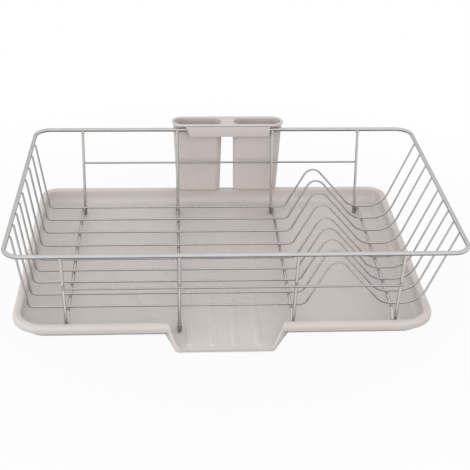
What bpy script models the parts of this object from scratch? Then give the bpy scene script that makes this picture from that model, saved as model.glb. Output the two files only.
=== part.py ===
"""Dish drainer: a wire basket standing in a drip tray with a spout, and a cutlery holder hooked on its back rim.

Units are metres, +Z is up, +X is to the right and -Y is to the front, where the spout is. The origin lies on the
table, at the middle of the footprint. The basket lifts straight up out of the tray and the holder lifts off the rim,
so each hangs on an empty of its own.

Sections are drawn in the basket's own frame: X and Y from the middle of the rim, Z from the tips of the feet.
"""

import math

import bmesh
import bpy

# Clearance kept between pieces that rest on, or are welded to, each other
SEAT_GAP = 0.0003
# How far a cutter or a joined shape runs past the face it meets
OVERRUN = 0.0012
# How far a cut stays off a face that it would otherwise lie in
FACE_STEP = 0.0001

# Rim: a thick wire bent to a rounded rectangle, measured on its centreline
RIM_WIRE = 0.0049
RIM_LENGTH = 0.470
RIM_DEPTH = 0.3194
RIM_CORNER = 0.018
RIM_HEIGHT = 0.106
# How far off the rim's centreline the ends of the other wires are aimed
WELD_OFFSET = 0.0026
RIGHT_WELD_OFFSET = 0.0011

# Long wires: left rim, floor, plate hump, right rim
LONG_WIRE = 0.0023
FLOOR_HEIGHT = 0.0194
BACK_PITCH = 0.0324
FRONT_PITCH = 0.0252
BACK_PITCHES = 4
FRONT_PITCHES = 4
LEFT_INSET = 0.0212
LEFT_BEND = 0.007
HUMP_TO_RIGHT = 0.1264
HUMP_HEIGHT = 0.0506
HUMP_CROWN = 0.0123
HUMP_RISE = 0.0388
HUMP_FALL = 0.059
HUMP_FOOT_BEND = 0.008
HUMP_BACK_BEND = 0.020
RIGHT_INSET = 0.0535
RIGHT_BEND = 0.026

# Cross wires: front rim, V foot, under the floor, V foot, back rim
CROSS_WIRE = 0.0034
CROSS_LEFT_INSET = 0.0568
CROSS_RIGHT_INSET = 0.0663
CROSS_MIDDLE_PITCH = 0.120
FOOT_SPREAD = 0.270
FOOT_BEND = 0.0036
FLOOR_MARGIN = 0.0058
FLOOR_BEND = 0.004

# Rails outside the legs
RAIL_WIRE = 0.0023
RAIL_HEIGHT = 0.064

# Soft caps on the V feet, and how much of a foot's short leg they cover
CAP_WALL = 0.0006
CAP_SHARE = 0.5

# Drip tray: a sheet with a rolled lip
SHEET = 0.0018
LIP_HEIGHT = 0.0172
LIP_WIDTH = 0.0091
LIP_OUTER_ROUND = 0.0045
LIP_INNER_ROUND = 0.0022
SKIRT_DROP = 0.0083
FLOOR_ROUND = 0.0085
LEG_TO_LIP = 0.0003
TRAY_LEFT_MARGIN = 0.0586
TRAY_RIGHT_MARGIN = 0.0439
TRAY_BACK_MARGIN = 0.0443
TRAY_FRONT_CORNER = 0.036
TRAY_BACK_CORNER = 0.022

# Spout, measured from the tray's middle line
SPOUT_REACH = 0.0178
SPOUT_ROOT_LEFT = 0.0616
SPOUT_ROOT_RIGHT = 0.0648
SPOUT_END_LEFT = 0.0518
SPOUT_END_RIGHT = 0.050
SPOUT_FALL = 0.0017
SPOUT_END_WALL = 0.0054
SPOUT_DRAFT = 0.002
SPOUT_CORNER = 0.004

# Low ribs on the floor in front of the spout, and the foot bars under the tray
RIB_COUNT = 4
RIB_PITCH = 0.024
RIB_WIDTH = 0.005
RIB_TOP = 0.0018
RIB_HEIGHT = 0.0008
RIB_LENGTH = 0.111
RIB_TO_SPOUT_END = 0.006
BAR_LENGTH = 0.198
BAR_WIDTH = 0.006
BAR_HEIGHT = 0.0024
BAR_INSET = 0.0004

# Cutlery holder
HOOK_PLAY = 0.0106
HOOK_RIGHT_GAP = 0.0015
HOOK_FRONT_GAP = 0.00035
HOOK_BACK_GAP = 0.00045
STRIP_THICKNESS = 0.002
STRIP_HEIGHT = 0.0137
STRIP_EDGE = 0.0006
STRIP_SLANT = 0.0056
HOOK_PLATE = 0.0029
FLANGE_THICKNESS = 0.0021
FLANGE_EDGE = 0.0007
FLANGE_LAP = 0.0004
FLANGE_SETBACK = 0.0012
FLANGE_LENGTH = 0.1412
FLANGE_DEPTH = 0.0293
FLANGE_OVERHANG = 0.0014
CUP_WALL = 0.0018
CUP_GAP = 0.0136
CUP_DEPTH = 0.0209
CUP_END_RADIUS = 0.0102
CUP_FRONT_RADIUS = 0.007
CUP_BACK_RADIUS = 0.0125
CUP_BOTTOM_ROUND = 0.0075
CUP_INNER_DRAFT = 0.002
CUP_OUTER_DRAFT = 0.0043
CUP_DEPTH_DRAFT = 0.0012
CUP_TO_TRAY = 0.0006

# Fineness of round shapes
BEND_STEP = math.radians(18)
CORNER_STEPS = 6
ROUND_STEPS = 4
THIN_STEPS = 2
RIM_STEPS = 3
# Widest part of a side that its two corner rounds may take
ROUND_SHARE = 0.97

# Places worked out from the sizes above
RIM_HALF_LENGTH = RIM_LENGTH / 2
RIM_HALF_DEPTH = RIM_DEPTH / 2
FLOOR_HALF = (BACK_PITCH * BACK_PITCHES + FRONT_PITCH * FRONT_PITCHES) / 2
CROSS_HEIGHT = FLOOR_HEIGHT - (LONG_WIRE + CROSS_WIRE) / 2 - SEAT_GAP
CROSS_PLACES = (
    CROSS_LEFT_INSET - RIM_HALF_LENGTH,
    -CROSS_MIDDLE_PITCH / 2,
    CROSS_MIDDLE_PITCH / 2,
    RIM_HALF_LENGTH - CROSS_RIGHT_INSET,
)
CAP_BORE = CROSS_WIRE / 2 + SEAT_GAP
CAP_RADIUS = CAP_BORE + CAP_WALL
TRAY_FLOOR = -SEAT_GAP
TABLE = TRAY_FLOOR - SHEET - BAR_HEIGHT
LIP_CREST = TRAY_FLOOR + LIP_HEIGHT


def principled(name, colour, roughness, metallic):
    """A material with the part's colour, roughness and metallic value."""
    material = bpy.data.materials.new(name)
    material.use_nodes = True
    shader = material.node_tree.nodes["Principled BSDF"]
    shader.inputs["Base Color"].default_value = (*colour, 1.0)
    shader.inputs["Roughness"].default_value = roughness
    shader.inputs["Metallic"].default_value = metallic
    material.diffuse_color = (*colour, 1.0)
    return material


def wire_route(bends, trims):
    """Points of a wire that runs straight from bend to bend, in the plane of the wire.

    A bend is (across, up, radius); a positive radius turns the wire to the left. The first and the last bend are only
    touched, and the wire is cut short of them by the trims.
    """
    headings = []
    for (across, up, radius), (next_across, next_up, next_radius) in zip(bends, bends[1:]):
        span = math.hypot(next_across - across, next_up - up)
        line = math.atan2(next_up - up, next_across - across)
        headings.append(line - math.asin((next_radius - radius) / span))
    points = []
    for bend, arrive, depart in zip(bends, headings[:1] + headings, headings + headings[-1:]):
        across, up, radius = bend
        steps = math.ceil(abs(depart - arrive) / BEND_STEP)
        for step in range(steps + 1):
            heading = arrive + (depart - arrive) * step / max(steps, 1)
            points.append((across + radius * math.sin(heading), up - radius * math.cos(heading)))
    points[0] = toward(points[0], points[1], trims[0])
    points[-1] = toward(points[-1], points[-2], trims[1])
    return points


def toward(start, end, length):
    """The point at a length from the start, on the line to the end."""
    share = length / math.dist(start, end)
    return tuple(a + (b - a) * share for a, b in zip(start, end))


def rim_trim(wire, offset):
    """How far short of its nearest point to the rim's centreline a wire ends, so that its flat end just clears it."""
    sideways = max(offset - wire / 2, 0.0)
    return math.sqrt((RIM_WIRE / 2 + SEAT_GAP) ** 2 - sideways**2)


def long_route():
    """Route of a long wire in the XZ plane, from the left rim to the right rim."""
    peak = RIM_HALF_LENGTH - HUMP_TO_RIGHT
    floor = FLOOR_HEIGHT
    return wire_route(
        [
            (-RIM_HALF_LENGTH, RIM_HEIGHT, -WELD_OFFSET),
            (-RIM_HALF_LENGTH + LEFT_INSET, floor + LEFT_BEND, LEFT_BEND),
            (peak - HUMP_RISE, floor + HUMP_FOOT_BEND, HUMP_FOOT_BEND),
            (peak, floor + HUMP_HEIGHT - HUMP_CROWN, -HUMP_CROWN),
            (peak + HUMP_FALL, floor + HUMP_BACK_BEND, HUMP_BACK_BEND),
            (RIM_HALF_LENGTH - RIGHT_INSET, floor + RIGHT_BEND, RIGHT_BEND),
            (RIM_HALF_LENGTH, RIM_HEIGHT, -RIGHT_WELD_OFFSET),
        ],
        (rim_trim(LONG_WIRE, WELD_OFFSET), rim_trim(LONG_WIRE, RIGHT_WELD_OFFSET)),
    )


def cross_route():
    """Route of a cross wire in the YZ plane, from the front rim to the back rim."""
    foot = FOOT_SPREAD / 2
    edge = FLOOR_HALF + FLOOR_MARGIN
    return wire_route(
        [
            (-RIM_HALF_DEPTH, RIM_HEIGHT, -WELD_OFFSET),
            (-foot, CAP_RADIUS + FOOT_BEND, FOOT_BEND),
            (-edge, CROSS_HEIGHT - FLOOR_BEND, -FLOOR_BEND),
            (edge, CROSS_HEIGHT - FLOOR_BEND, -FLOOR_BEND),
            (foot, CAP_RADIUS + FOOT_BEND, FOOT_BEND),
            (RIM_HALF_DEPTH, RIM_HEIGHT, -WELD_OFFSET),
        ],
        (rim_trim(CROSS_WIRE, WELD_OFFSET), rim_trim(CROSS_WIRE, WELD_OFFSET)),
    )


def leg_line():
    """The two ends of a front leg's straight run, each (y, z), from the rim down to the foot."""
    return cross_route()[0], cross_route()[1]


def leg_depth(height):
    """How far in front of the middle the axis of a front leg is at a height."""
    (top, top_height), (low, low_height) = leg_line()
    return -(low + (top - low) * (height - low_height) / (top_height - low_height))


def wire_curve(name, points, diameter, bevel, closed=False):
    """Curve data for a round wire along the points."""
    curve = bpy.data.curves.new(name, "CURVE")
    curve.dimensions = "3D"
    curve.bevel_depth = diameter / 2
    curve.bevel_resolution = bevel
    curve.use_fill_caps = True
    spline = curve.splines.new("POLY")
    spline.points.add(len(points) - 1)
    for point, place in zip(spline.points, points):
        point.co = (*place, 1.0)
    spline.use_cyclic_u = closed
    return curve


def put(name, data, material, parent, place=(0.0, 0.0, 0.0), turn=0.0):
    """An object on its parent empty, with its material."""
    made = bpy.data.objects.new(name, data)
    bpy.context.scene.collection.objects.link(made)
    if not data.materials:
        data.materials.append(material)
    made.parent = parent
    made.location = place
    made.rotation_euler.z = turn
    return made


def empty(name, place, parent=None):
    """An empty that carries a body."""
    made = bpy.data.objects.new(name, None)
    bpy.context.scene.collection.objects.link(made)
    made.parent = parent
    made.location = place
    return made


def skin(name, rings):
    """Mesh of a closed solid: the first ring's face is extruded from ring to ring."""
    mesh = bpy.data.meshes.new(name)
    shape = bmesh.new()
    first = shape.faces.new([shape.verts.new(point) for point in rings[0]])
    face = first
    for ring in rings[1:]:
        grown = bmesh.ops.extrude_face_region(shape, geom=[face])["geom"]
        if face is not first:
            shape.faces.remove(face)
        face = next(part for part in grown if isinstance(part, bmesh.types.BMFace))
        for corner, point in zip(face.verts, ring):
            corner.co = point
    bmesh.ops.recalc_face_normals(shape, faces=shape.faces)
    shape.to_mesh(mesh)
    shape.free()
    return mesh


def soften(mesh, angle):
    """Smooth shading with the edges sharper than the angle kept crisp."""
    mesh.shade_smooth()
    mesh.set_sharp_from_angle(angle=angle)


def arc(across, up, radius, start, end):
    """Points on an arc in a section, from one angle to another in degrees."""
    angles = [math.radians(start + (end - start) * step / ROUND_STEPS) for step in range(ROUND_STEPS + 1)]
    return [(across + radius * math.cos(angle), up + radius * math.sin(angle)) for angle in angles]


def rounded_outline(left, right, front, back, radii, height):
    """Level ring round a box; radii are those at front right, back right, back left and front left."""
    room = (back - front) * ROUND_SHARE
    right_fit = min(1, room / (radii[0] + radii[1]))
    left_fit = min(1, room / (radii[2] + radii[3]))
    fits = (right_fit, right_fit, left_fit, left_fit)
    corners = ((right, front, 1, -1), (right, back, 1, 1), (left, back, -1, 1), (left, front, -1, -1))
    ring = []
    for turn, ((x, y, side, way), radius, fit) in enumerate(zip(corners, radii, fits)):
        for step in range(CORNER_STEPS + 1):
            angle = math.radians(90) * (turn - 1 + step / CORNER_STEPS)
            reach = radius * fit
            centre_x = x - side * reach
            centre_y = y - way * reach
            ring.append((centre_x + reach * math.cos(angle), centre_y + reach * math.sin(angle), height))
    return ring


def combine(target, other, operation):
    """Joins another shape to the target, or cuts it out, and keeps that shape as a hidden guide."""
    step = target.modifiers.new(other.name, "BOOLEAN")
    step.operation = operation
    step.solver = "EXACT"
    step.object = other
    other.hide_render = True
    other.display_type = "WIRE"


def tray_edges():
    """Left, right, front and back of the tray's outer edge."""
    left = CROSS_PLACES[0] - TRAY_LEFT_MARGIN
    right = CROSS_PLACES[-1] + TRAY_RIGHT_MARGIN
    wall = leg_depth(LIP_CREST) + CAP_RADIUS + LEG_TO_LIP
    return left, right, -wall - LIP_WIDTH, FOOT_SPREAD / 2 + TRAY_BACK_MARGIN


def lip_section():
    """The tray's section as (inset, height), from the underside of the floor round the lip to its upper side."""
    inner = LIP_WIDTH - LIP_INNER_ROUND
    inner_up = LIP_CREST - LIP_INNER_ROUND
    outer_up = LIP_CREST - LIP_OUTER_ROUND
    foot = LIP_WIDTH + FLOOR_ROUND
    foot_up = TRAY_FLOOR + FLOOR_ROUND
    skirt = LIP_CREST - SKIRT_DROP
    under = arc(foot, foot_up, FLOOR_ROUND + SHEET, 270, 180)
    under += arc(inner, inner_up, LIP_INNER_ROUND - SHEET, 0, 90)
    under += arc(LIP_OUTER_ROUND, outer_up, LIP_OUTER_ROUND - SHEET, 90, 180)
    over = arc(LIP_OUTER_ROUND, outer_up, LIP_OUTER_ROUND, 180, 90)
    over += arc(inner, inner_up, LIP_INNER_ROUND, 90, 0)
    over += arc(foot, foot_up, FLOOR_ROUND, 180, 270)
    return under + [(SHEET, skirt), (0.0, skirt)] + over


def tray_shell():
    """Mesh of the tray without its spout."""
    left, right, front, back = tray_edges()
    rings = []
    for inset, height in lip_section():
        radii = [TRAY_FRONT_CORNER - inset, TRAY_BACK_CORNER - inset]
        radii += [TRAY_BACK_CORNER - inset, TRAY_FRONT_CORNER - inset]
        rings.append(rounded_outline(left + inset, right - inset, front + inset, back - inset, radii, height))
    return skin("tray_shell", rings)


def spout_ring(depth, low, high, inset, draft):
    """Upright four-cornered ring across the spout at a depth, inset from its outer sides."""
    left, right, front, _ = tray_edges()
    middle = (left + right) / 2
    share = (front + LIP_WIDTH - depth) / (LIP_WIDTH + SPOUT_REACH)
    lower_left = middle - SPOUT_ROOT_LEFT + (SPOUT_ROOT_LEFT - SPOUT_END_LEFT) * share + inset
    lower_right = middle + SPOUT_ROOT_RIGHT - (SPOUT_ROOT_RIGHT - SPOUT_END_RIGHT) * share - inset
    return [
        (lower_left, depth, low),
        (lower_right, depth, low),
        (lower_right + draft, depth, high),
        (lower_left - draft, depth, high),
    ]


def spout_block():
    """Mesh of the spout's outer shape, which is joined to the tray."""
    _, _, front, _ = tray_edges()
    brow = front + LIP_WIDTH
    end = front - SPOUT_REACH
    under = TRAY_FLOOR - SHEET
    root = brow - SHEET / 2
    root_high = LIP_CREST - FACE_STEP * 5
    end_high = TRAY_FLOOR - SPOUT_FALL + SPOUT_END_WALL
    rings = [
        spout_ring(brow + FLOOR_ROUND, under + SHEET / 4, TRAY_FLOOR - SHEET / 4, 0.0, 0.0),
        spout_ring(brow - SHEET / 4, under, TRAY_FLOOR + SHEET / 4, 0.0, 0.0),
    ]
    for inset, depth in [(0.0, root)] + arc(SPOUT_CORNER, end + SPOUT_CORNER, SPOUT_CORNER, 180, 270):
        share = (root - depth) / (root - end)
        high = root_high + (end_high - root_high) * share
        draft = SPOUT_DRAFT * (1 - share * (1 - SPOUT_END_WALL / LIP_HEIGHT))
        rings.append(spout_ring(depth, under - SPOUT_FALL * share, high, inset, draft))
    return skin("spout_block", rings)


def spout_channel():
    """Mesh of the space inside the spout, which is cut through the lip."""
    _, _, front, _ = tray_edges()
    brow = front + LIP_WIDTH
    end = front - SPOUT_REACH
    bend = brow + FLOOR_ROUND
    high = LIP_CREST + OVERRUN
    floor = TRAY_FLOOR - FACE_STEP
    rings = [
        spout_ring(bend + LIP_WIDTH, TRAY_FLOOR + SHEET / 4, high, SHEET, SPOUT_DRAFT),
        spout_ring(bend, floor, high, SHEET, SPOUT_DRAFT),
    ]
    corner = arc(SPOUT_CORNER, end + SPOUT_CORNER, SPOUT_CORNER - SHEET, 180, 270)
    for inset, depth in corner + [(SPOUT_CORNER, end - OVERRUN)]:
        share = (bend - depth) / (bend - end)
        low = floor - (SPOUT_FALL - FACE_STEP) * share
        rings.append(spout_ring(depth, low, high, inset, SPOUT_DRAFT))
    return skin("spout_channel", rings)


def rib(number):
    """Mesh of one low rib that runs along the floor and down the spout."""
    left, right, front, _ = tray_edges()
    middle = (left + right) / 2 + RIB_PITCH * (number - (RIB_COUNT - 1) / 2)
    end = front - SPOUT_REACH + RIB_TO_SPOUT_END
    bend = front + LIP_WIDTH + FLOOR_ROUND
    rings = []
    for depth, fall in ((end + RIB_LENGTH, 0.0), (bend, 0.0), (end, SPOUT_FALL)):
        low = TRAY_FLOOR - fall - SHEET / 2
        high = TRAY_FLOOR - fall + RIB_HEIGHT
        rings.append(
            [
                (middle - RIB_WIDTH / 2, depth, low),
                (middle + RIB_WIDTH / 2, depth, low),
                (middle + RIB_TOP / 2, depth, high),
                (middle - RIB_TOP / 2, depth, high),
            ]
        )
    return skin(f"rib_{number + 1}", rings)


def foot_bar(name, front):
    """Mesh of a low bar under the tray's floor, from a front edge backwards."""
    left, right, _, _ = tray_edges()
    middle = (left + right) / 2
    low = TABLE
    high = TRAY_FLOOR - SHEET / 2
    sides = (middle - BAR_LENGTH / 2, middle + BAR_LENGTH / 2)
    rings = []
    for x in sides:
        rings.append([(x, front, low), (x, front + BAR_WIDTH, low), (x, front + BAR_WIDTH, high), (x, front, high)])
    return skin(name, rings)


def drain_tray(plastic, stand):
    """The drip tray: shell, spout, ribs and foot bars in one moulding."""
    _, _, front, back = tray_edges()
    tray = put("drain_tray", tray_shell(), plastic, stand)
    edge = LIP_WIDTH + FLOOR_ROUND + BAR_INSET
    combine(tray, put("spout_block", spout_block(), plastic, stand), "UNION")
    combine(tray, put("spout_channel", spout_channel(), plastic, stand), "DIFFERENCE")
    for number in range(RIB_COUNT):
        combine(tray, put(f"rib_{number + 1}", rib(number), plastic, stand), "UNION")
    combine(tray, put("bar_front", foot_bar("bar_front", front + edge), plastic, stand), "UNION")
    combine(tray, put("bar_back", foot_bar("bar_back", back - edge - BAR_WIDTH), plastic, stand), "UNION")
    soften(tray.data, math.radians(30))


def rim(steel, basket):
    """The basket's rim wire."""
    radii = [RIM_CORNER] * 4
    ring = rounded_outline(
        -RIM_HALF_LENGTH, RIM_HALF_LENGTH, -RIM_HALF_DEPTH, RIM_HALF_DEPTH, radii, RIM_HEIGHT
    )
    put("rim_wire", wire_curve("rim_wire", ring, RIM_WIRE, RIM_STEPS, closed=True), steel, basket)


def long_wires(steel, basket):
    """The wires that make the floor, the end walls and the plate hump, numbered from the back."""
    points = [(x, 0.0, z) for x, z in long_route()]
    curve = wire_curve("long_wire", points, LONG_WIRE, THIN_STEPS)
    depth = FLOOR_HALF
    pitches = [BACK_PITCH] * BACK_PITCHES + [FRONT_PITCH] * FRONT_PITCHES
    for number, pitch in enumerate([0.0, *pitches]):
        depth -= pitch
        put(f"long_wire_{number + 1}", curve, steel, basket, (0.0, depth, 0.0))


def cross_wires(steel, basket):
    """The wires that carry the floor and stand on the V feet, numbered from the left."""
    points = [(0.0, y, z) for y, z in cross_route()]
    curve = wire_curve("cross_wire", points, CROSS_WIRE, THIN_STEPS)
    for number, x in enumerate(CROSS_PLACES):
        put(f"cross_wire_{number + 1}", curve, steel, basket, (x, 0.0, 0.0))


def rails(steel, basket):
    """The two straight wires welded to the outside of the legs."""
    (top, top_height), (low, low_height) = leg_line()
    lean = math.atan2(low - top, top_height - low_height)
    away = ((CROSS_WIRE + RAIL_WIRE) / 2 + SEAT_GAP) / math.cos(lean)
    depth = leg_depth(RAIL_HEIGHT) + away
    ends = (CROSS_PLACES[0] - CROSS_WIRE / 2, CROSS_PLACES[-1] + CROSS_WIRE / 2)
    curve = wire_curve("rail", [(x, 0.0, 0.0) for x in ends], RAIL_WIRE, THIN_STEPS)
    put("rail_back", curve, steel, basket, (0.0, depth, RAIL_HEIGHT))
    put("rail_front", curve, steel, basket, (0.0, -depth, RAIL_HEIGHT))


def near_foot(extra):
    """Route of the front V foot, up both legs as far as the caps reach and a little extra."""
    points = [point for point in cross_route() if point[0] < 0]
    lowest = min(height for _, height in points)
    foot = [point for point in points if point[1] < lowest + FOOT_BEND]
    after = points[points.index(foot[-1]) + 1]
    reach = math.dist(foot[-1], after) * CAP_SHARE + extra
    return [toward(foot[0], points[0], reach), *foot, toward(foot[-1], after, reach)]


def tube_mesh(name, route, radius):
    """Closed mesh of a tube along a route in the YZ plane."""
    points = [(0.0, y, z) for y, z in route]
    guide = bpy.data.objects.new(name, wire_curve(name, points, radius * 2, THIN_STEPS))
    bpy.context.scene.collection.objects.link(guide)
    graph = bpy.context.evaluated_depsgraph_get()
    mesh = bpy.data.meshes.new_from_object(guide.evaluated_get(graph))
    bpy.data.objects.remove(guide)
    shape = bmesh.new()
    shape.from_mesh(mesh)
    bmesh.ops.remove_doubles(shape, verts=shape.verts, dist=radius / 100)
    bmesh.ops.recalc_face_normals(shape, faces=shape.faces)
    shape.to_mesh(mesh)
    shape.free()
    return mesh


def foot_caps(rubber, basket):
    """The soft sleeves on the tips of the V feet."""
    body = tube_mesh("foot_cap", near_foot(0.0), CAP_RADIUS)
    bore = tube_mesh("cap_bore", near_foot(OVERRUN), CAP_BORE)
    soften(body, math.radians(40))
    for number, x in enumerate(CROSS_PLACES):
        for side, turn in (("front", 0.0), ("back", math.pi)):
            cap = put(f"foot_cap_{side}_{number + 1}", body, rubber, basket, (x, 0.0, 0.0), turn)
            tool = put(f"bore_{side}_{number + 1}", bore, rubber, basket, (x, 0.0, 0.0), turn)
            combine(cap, tool, "DIFFERENCE")


def hook_span():
    """Left and right end of the hook strip, between the legs of the two middle cross wires."""
    right = CROSS_PLACES[2] - CROSS_WIRE / 2 - HOOK_RIGHT_GAP
    return right - (CROSS_MIDDLE_PITCH - CROSS_WIRE - HOOK_PLAY), right


def holder_depths():
    """Depths of the strip's front, the strip's back and the cups' front wall."""
    strip_back = RIM_HALF_DEPTH - RIM_WIRE / 2 - HOOK_FRONT_GAP
    return strip_back - STRIP_THICKNESS, strip_back, RIM_HALF_DEPTH + RIM_WIRE / 2 + HOOK_BACK_GAP


def holder_heights():
    """Heights of the cups' underside, the hook's underside, and the flange's underside and top."""
    hook = RIM_HEIGHT + RIM_WIRE / 2 + SEAT_GAP
    flange = hook + HOOK_PLATE
    return LIP_CREST + CUP_TO_TRAY, hook, flange, flange + FLANGE_THICKNESS


def flange():
    """Mesh of the flange round the mouths of both cups, before the mouths are cut."""
    strip_front, _, _ = holder_depths()
    _, _, low, high = holder_heights()
    middle = sum(hook_span()) / 2
    half = FLANGE_LENGTH / 2
    front = strip_front + FLANGE_SETBACK
    levels = (
        (0.0, low),
        (0.0, high - FLANGE_EDGE),
        (FLANGE_EDGE * (1 - math.sqrt(0.5)), high - FLANGE_EDGE * (1 - math.sqrt(0.5))),
        (FLANGE_EDGE, high),
    )
    rings = []
    for inset, height in levels:
        radii = [FLANGE_DEPTH / 2 - inset] * 4
        ends = (middle - half + inset, middle + half - inset)
        rings.append(rounded_outline(*ends, front + inset, front + FLANGE_DEPTH - inset, radii, height))
    return skin("flange", rings)


def cup_ring(side, drop, inset, height):
    """Level ring round the left (-1) or right (1) cup, at a share of the way down, inset from its outer face."""
    _, _, wall = holder_depths()
    middle = sum(hook_span()) / 2
    near = CUP_GAP / 2 + CUP_INNER_DRAFT * drop + inset
    far = FLANGE_LENGTH / 2 - FLANGE_OVERHANG - CUP_OUTER_DRAFT * drop - inset
    ends = sorted((middle + side * near, middle + side * far))
    front = wall + CUP_DEPTH_DRAFT * drop + inset
    back = wall + CUP_DEPTH - CUP_DEPTH_DRAFT * drop - inset
    end = [CUP_END_RADIUS - inset] * 2
    gap = [CUP_FRONT_RADIUS - inset, CUP_BACK_RADIUS - inset]
    radii = end + gap[::-1] if side > 0 else gap + end
    return rounded_outline(*ends, front, back, radii, height)


def cup(name, side, wall, top):
    """Mesh of a cup's outer shape, or of its hollow when a wall is given, up to a height."""
    low, _, flange_low, _ = holder_heights()
    low += wall
    rings = []
    for inset, height in arc(CUP_BOTTOM_ROUND, low + CUP_BOTTOM_ROUND - wall, CUP_BOTTOM_ROUND - wall, 270, 180):
        drop = (flange_low - height) / (flange_low - low)
        rings.append(cup_ring(side, drop, inset, height))
    rings.append(cup_ring(side, (flange_low - top) / (flange_low - low), wall, top))
    return skin(name, rings)


def hook():
    """Mesh of the strip in front of the rim and the plate that rests on it."""
    strip_front, strip_back, wall = holder_depths()
    _, hook_low, flange_low, _ = holder_heights()
    high = flange_low + FLANGE_LAP
    low = high - STRIP_HEIGHT
    inside = wall + CUP_WALL / 2
    section = (
        (strip_front, low),
        (strip_back, low),
        (strip_back, hook_low),
        (inside, hook_low),
        (inside, high),
        (strip_front + STRIP_EDGE, high),
        (strip_front, high - STRIP_EDGE),
    )
    left, right = hook_span()
    slanted = [(left + STRIP_SLANT * (high - height) / STRIP_HEIGHT, depth, height) for depth, height in section]
    return skin("hook", [slanted, [(right, depth, height) for depth, height in section]])


def utensil_holder(plastic, lift):
    """The cutlery holder: two cups, a flange round their mouths and a hook over the back rim, in one moulding."""
    _, _, flange_low, flange_high = holder_heights()
    inside = flange_low + FLANGE_THICKNESS / 2
    holder = put("utensil_holder", flange(), plastic, lift)
    combine(holder, put("hook", hook(), plastic, lift), "UNION")
    for name, side in (("left", -1), ("right", 1)):
        combine(holder, put(f"cup_{name}", cup(f"cup_{name}", side, 0.0, inside), plastic, lift), "UNION")
    for name, side in (("left", -1), ("right", 1)):
        hollow = cup(f"hollow_{name}", side, CUP_WALL, flange_high + OVERRUN)
        combine(holder, put(f"hollow_{name}", hollow, plastic, lift), "DIFFERENCE")
    soften(holder.data, math.radians(30))


def footprint_shift():
    """How far the basket's middle lies behind the middle of the whole footprint, from spout to holder."""
    _, _, tray_front, tray_back = tray_edges()
    holder_back = holder_depths()[0] + FLANGE_SETBACK + FLANGE_DEPTH
    return -(tray_front - SPOUT_REACH + max(tray_back, holder_back)) / 2


def main():
    """Clears the scene and builds the drainer."""
    for leftover in list(bpy.data.objects):
        bpy.data.objects.remove(leftover)
    steel = principled("satin_chrome", (0.66, 0.65, 0.64), 0.28, 1.0)
    plastic = principled("greige_plastic", (0.56, 0.515, 0.485), 0.42, 0.0)
    rubber = principled("dark_cap", (0.10, 0.088, 0.085), 0.5, 0.0)
    place = (0.0, footprint_shift(), -TABLE)
    stand = empty("stand", place)
    basket = empty("basket_lift", place)
    drain_tray(plastic, stand)
    rim(steel, basket)
    long_wires(steel, basket)
    cross_wires(steel, basket)
    rails(steel, basket)
    foot_caps(rubber, basket)
    utensil_holder(plastic, empty("holder_lift", (0.0, 0.0, 0.0), basket))


main()
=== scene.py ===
"""Dish drainer: the finished look of the wire basket, the drip tray and the cutlery holder.

Lengths are metres. The wires are given from the middle of the rim and the tips of the feet, whose place is the
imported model's.
"""

import math

import bmesh
import bpy
from bpy.props import FloatProperty, FloatVectorProperty, IntProperty, PointerProperty
from mathutils import Matrix, Vector


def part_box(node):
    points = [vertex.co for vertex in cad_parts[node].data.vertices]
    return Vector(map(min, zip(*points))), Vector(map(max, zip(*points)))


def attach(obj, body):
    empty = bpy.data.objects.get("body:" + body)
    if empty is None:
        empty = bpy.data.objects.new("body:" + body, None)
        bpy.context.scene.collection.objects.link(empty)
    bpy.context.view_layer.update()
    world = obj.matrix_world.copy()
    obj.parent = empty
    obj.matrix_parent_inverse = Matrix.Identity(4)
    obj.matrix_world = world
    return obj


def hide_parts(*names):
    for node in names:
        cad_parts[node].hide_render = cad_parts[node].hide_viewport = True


bl_info = {
    "name": "Dish drainer",
    "version": (1, 0, 0),
    "blender": (4, 5, 0),
    "location": "3D View > Sidebar > Drainer",
    "description": "Wire dish drainer with a drip tray and a cutlery holder",
    "category": "Add Mesh",
}

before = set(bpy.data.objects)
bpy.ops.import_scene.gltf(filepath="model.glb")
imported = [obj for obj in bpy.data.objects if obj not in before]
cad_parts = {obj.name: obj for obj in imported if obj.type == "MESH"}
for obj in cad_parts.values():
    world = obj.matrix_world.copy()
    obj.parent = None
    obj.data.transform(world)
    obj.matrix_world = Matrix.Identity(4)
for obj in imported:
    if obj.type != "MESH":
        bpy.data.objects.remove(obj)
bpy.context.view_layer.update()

LONG_NODES = [f"long_wire_{number}" for number in range(1, 10)]
CROSS_NODES = [f"cross_wire_{number}" for number in range(1, 5)]
RAIL_NODES = ["rail_back", "rail_front"]

# Fineness of the round wires and caps, and sides of the ribs' oval
WIRE_ROUND = 5
CAP_ROUND = 6
RIM_ROUND = 8
OVAL_ROUND = 64
# Steps in a bend, in a wide corner, from wall to floor, and round edges from fine to wide
BEND_STEPS = 8
CORNER_STEPS = 16
FLOOR_STEPS = 10
TIP_STEPS = 3
SMALL_STEPS = 4
EDGE_STEPS = 5
WIDE_STEPS = 6
# Angles in degrees over which an edge stays crisp
CRISP_WIRE = 50
CRISP_TRAY = 21
CRISP_HOLDER = 25

# Wire bends as (across, up, radius) at the corners of the straight runs, in the basket's frame
RIM_HEIGHT = 0.106
LONG_START = (-0.23209, 0.10406)
LONG_BENDS = (
    (-0.21986, 0.0194, 0.007),
    (0.07464, 0.0194, 0.008),
    (0.10603, 0.07929, 0.0123),
    (0.15854, 0.0194, 0.020),
    (0.19909, 0.0194, 0.026),
)
LONG_END = (0.23296, 0.10386)
CROSS_TOP = (0.15667, 0.10392)
CROSS_FOOT = (0.13705, -0.00256, 0.0036)
CROSS_FLOOR = (0.12301, 0.01625, 0.004)
CAP_TOP = (0.13926, 0.00942)
CAP_END = (0.12976, 0.0072)

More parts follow.
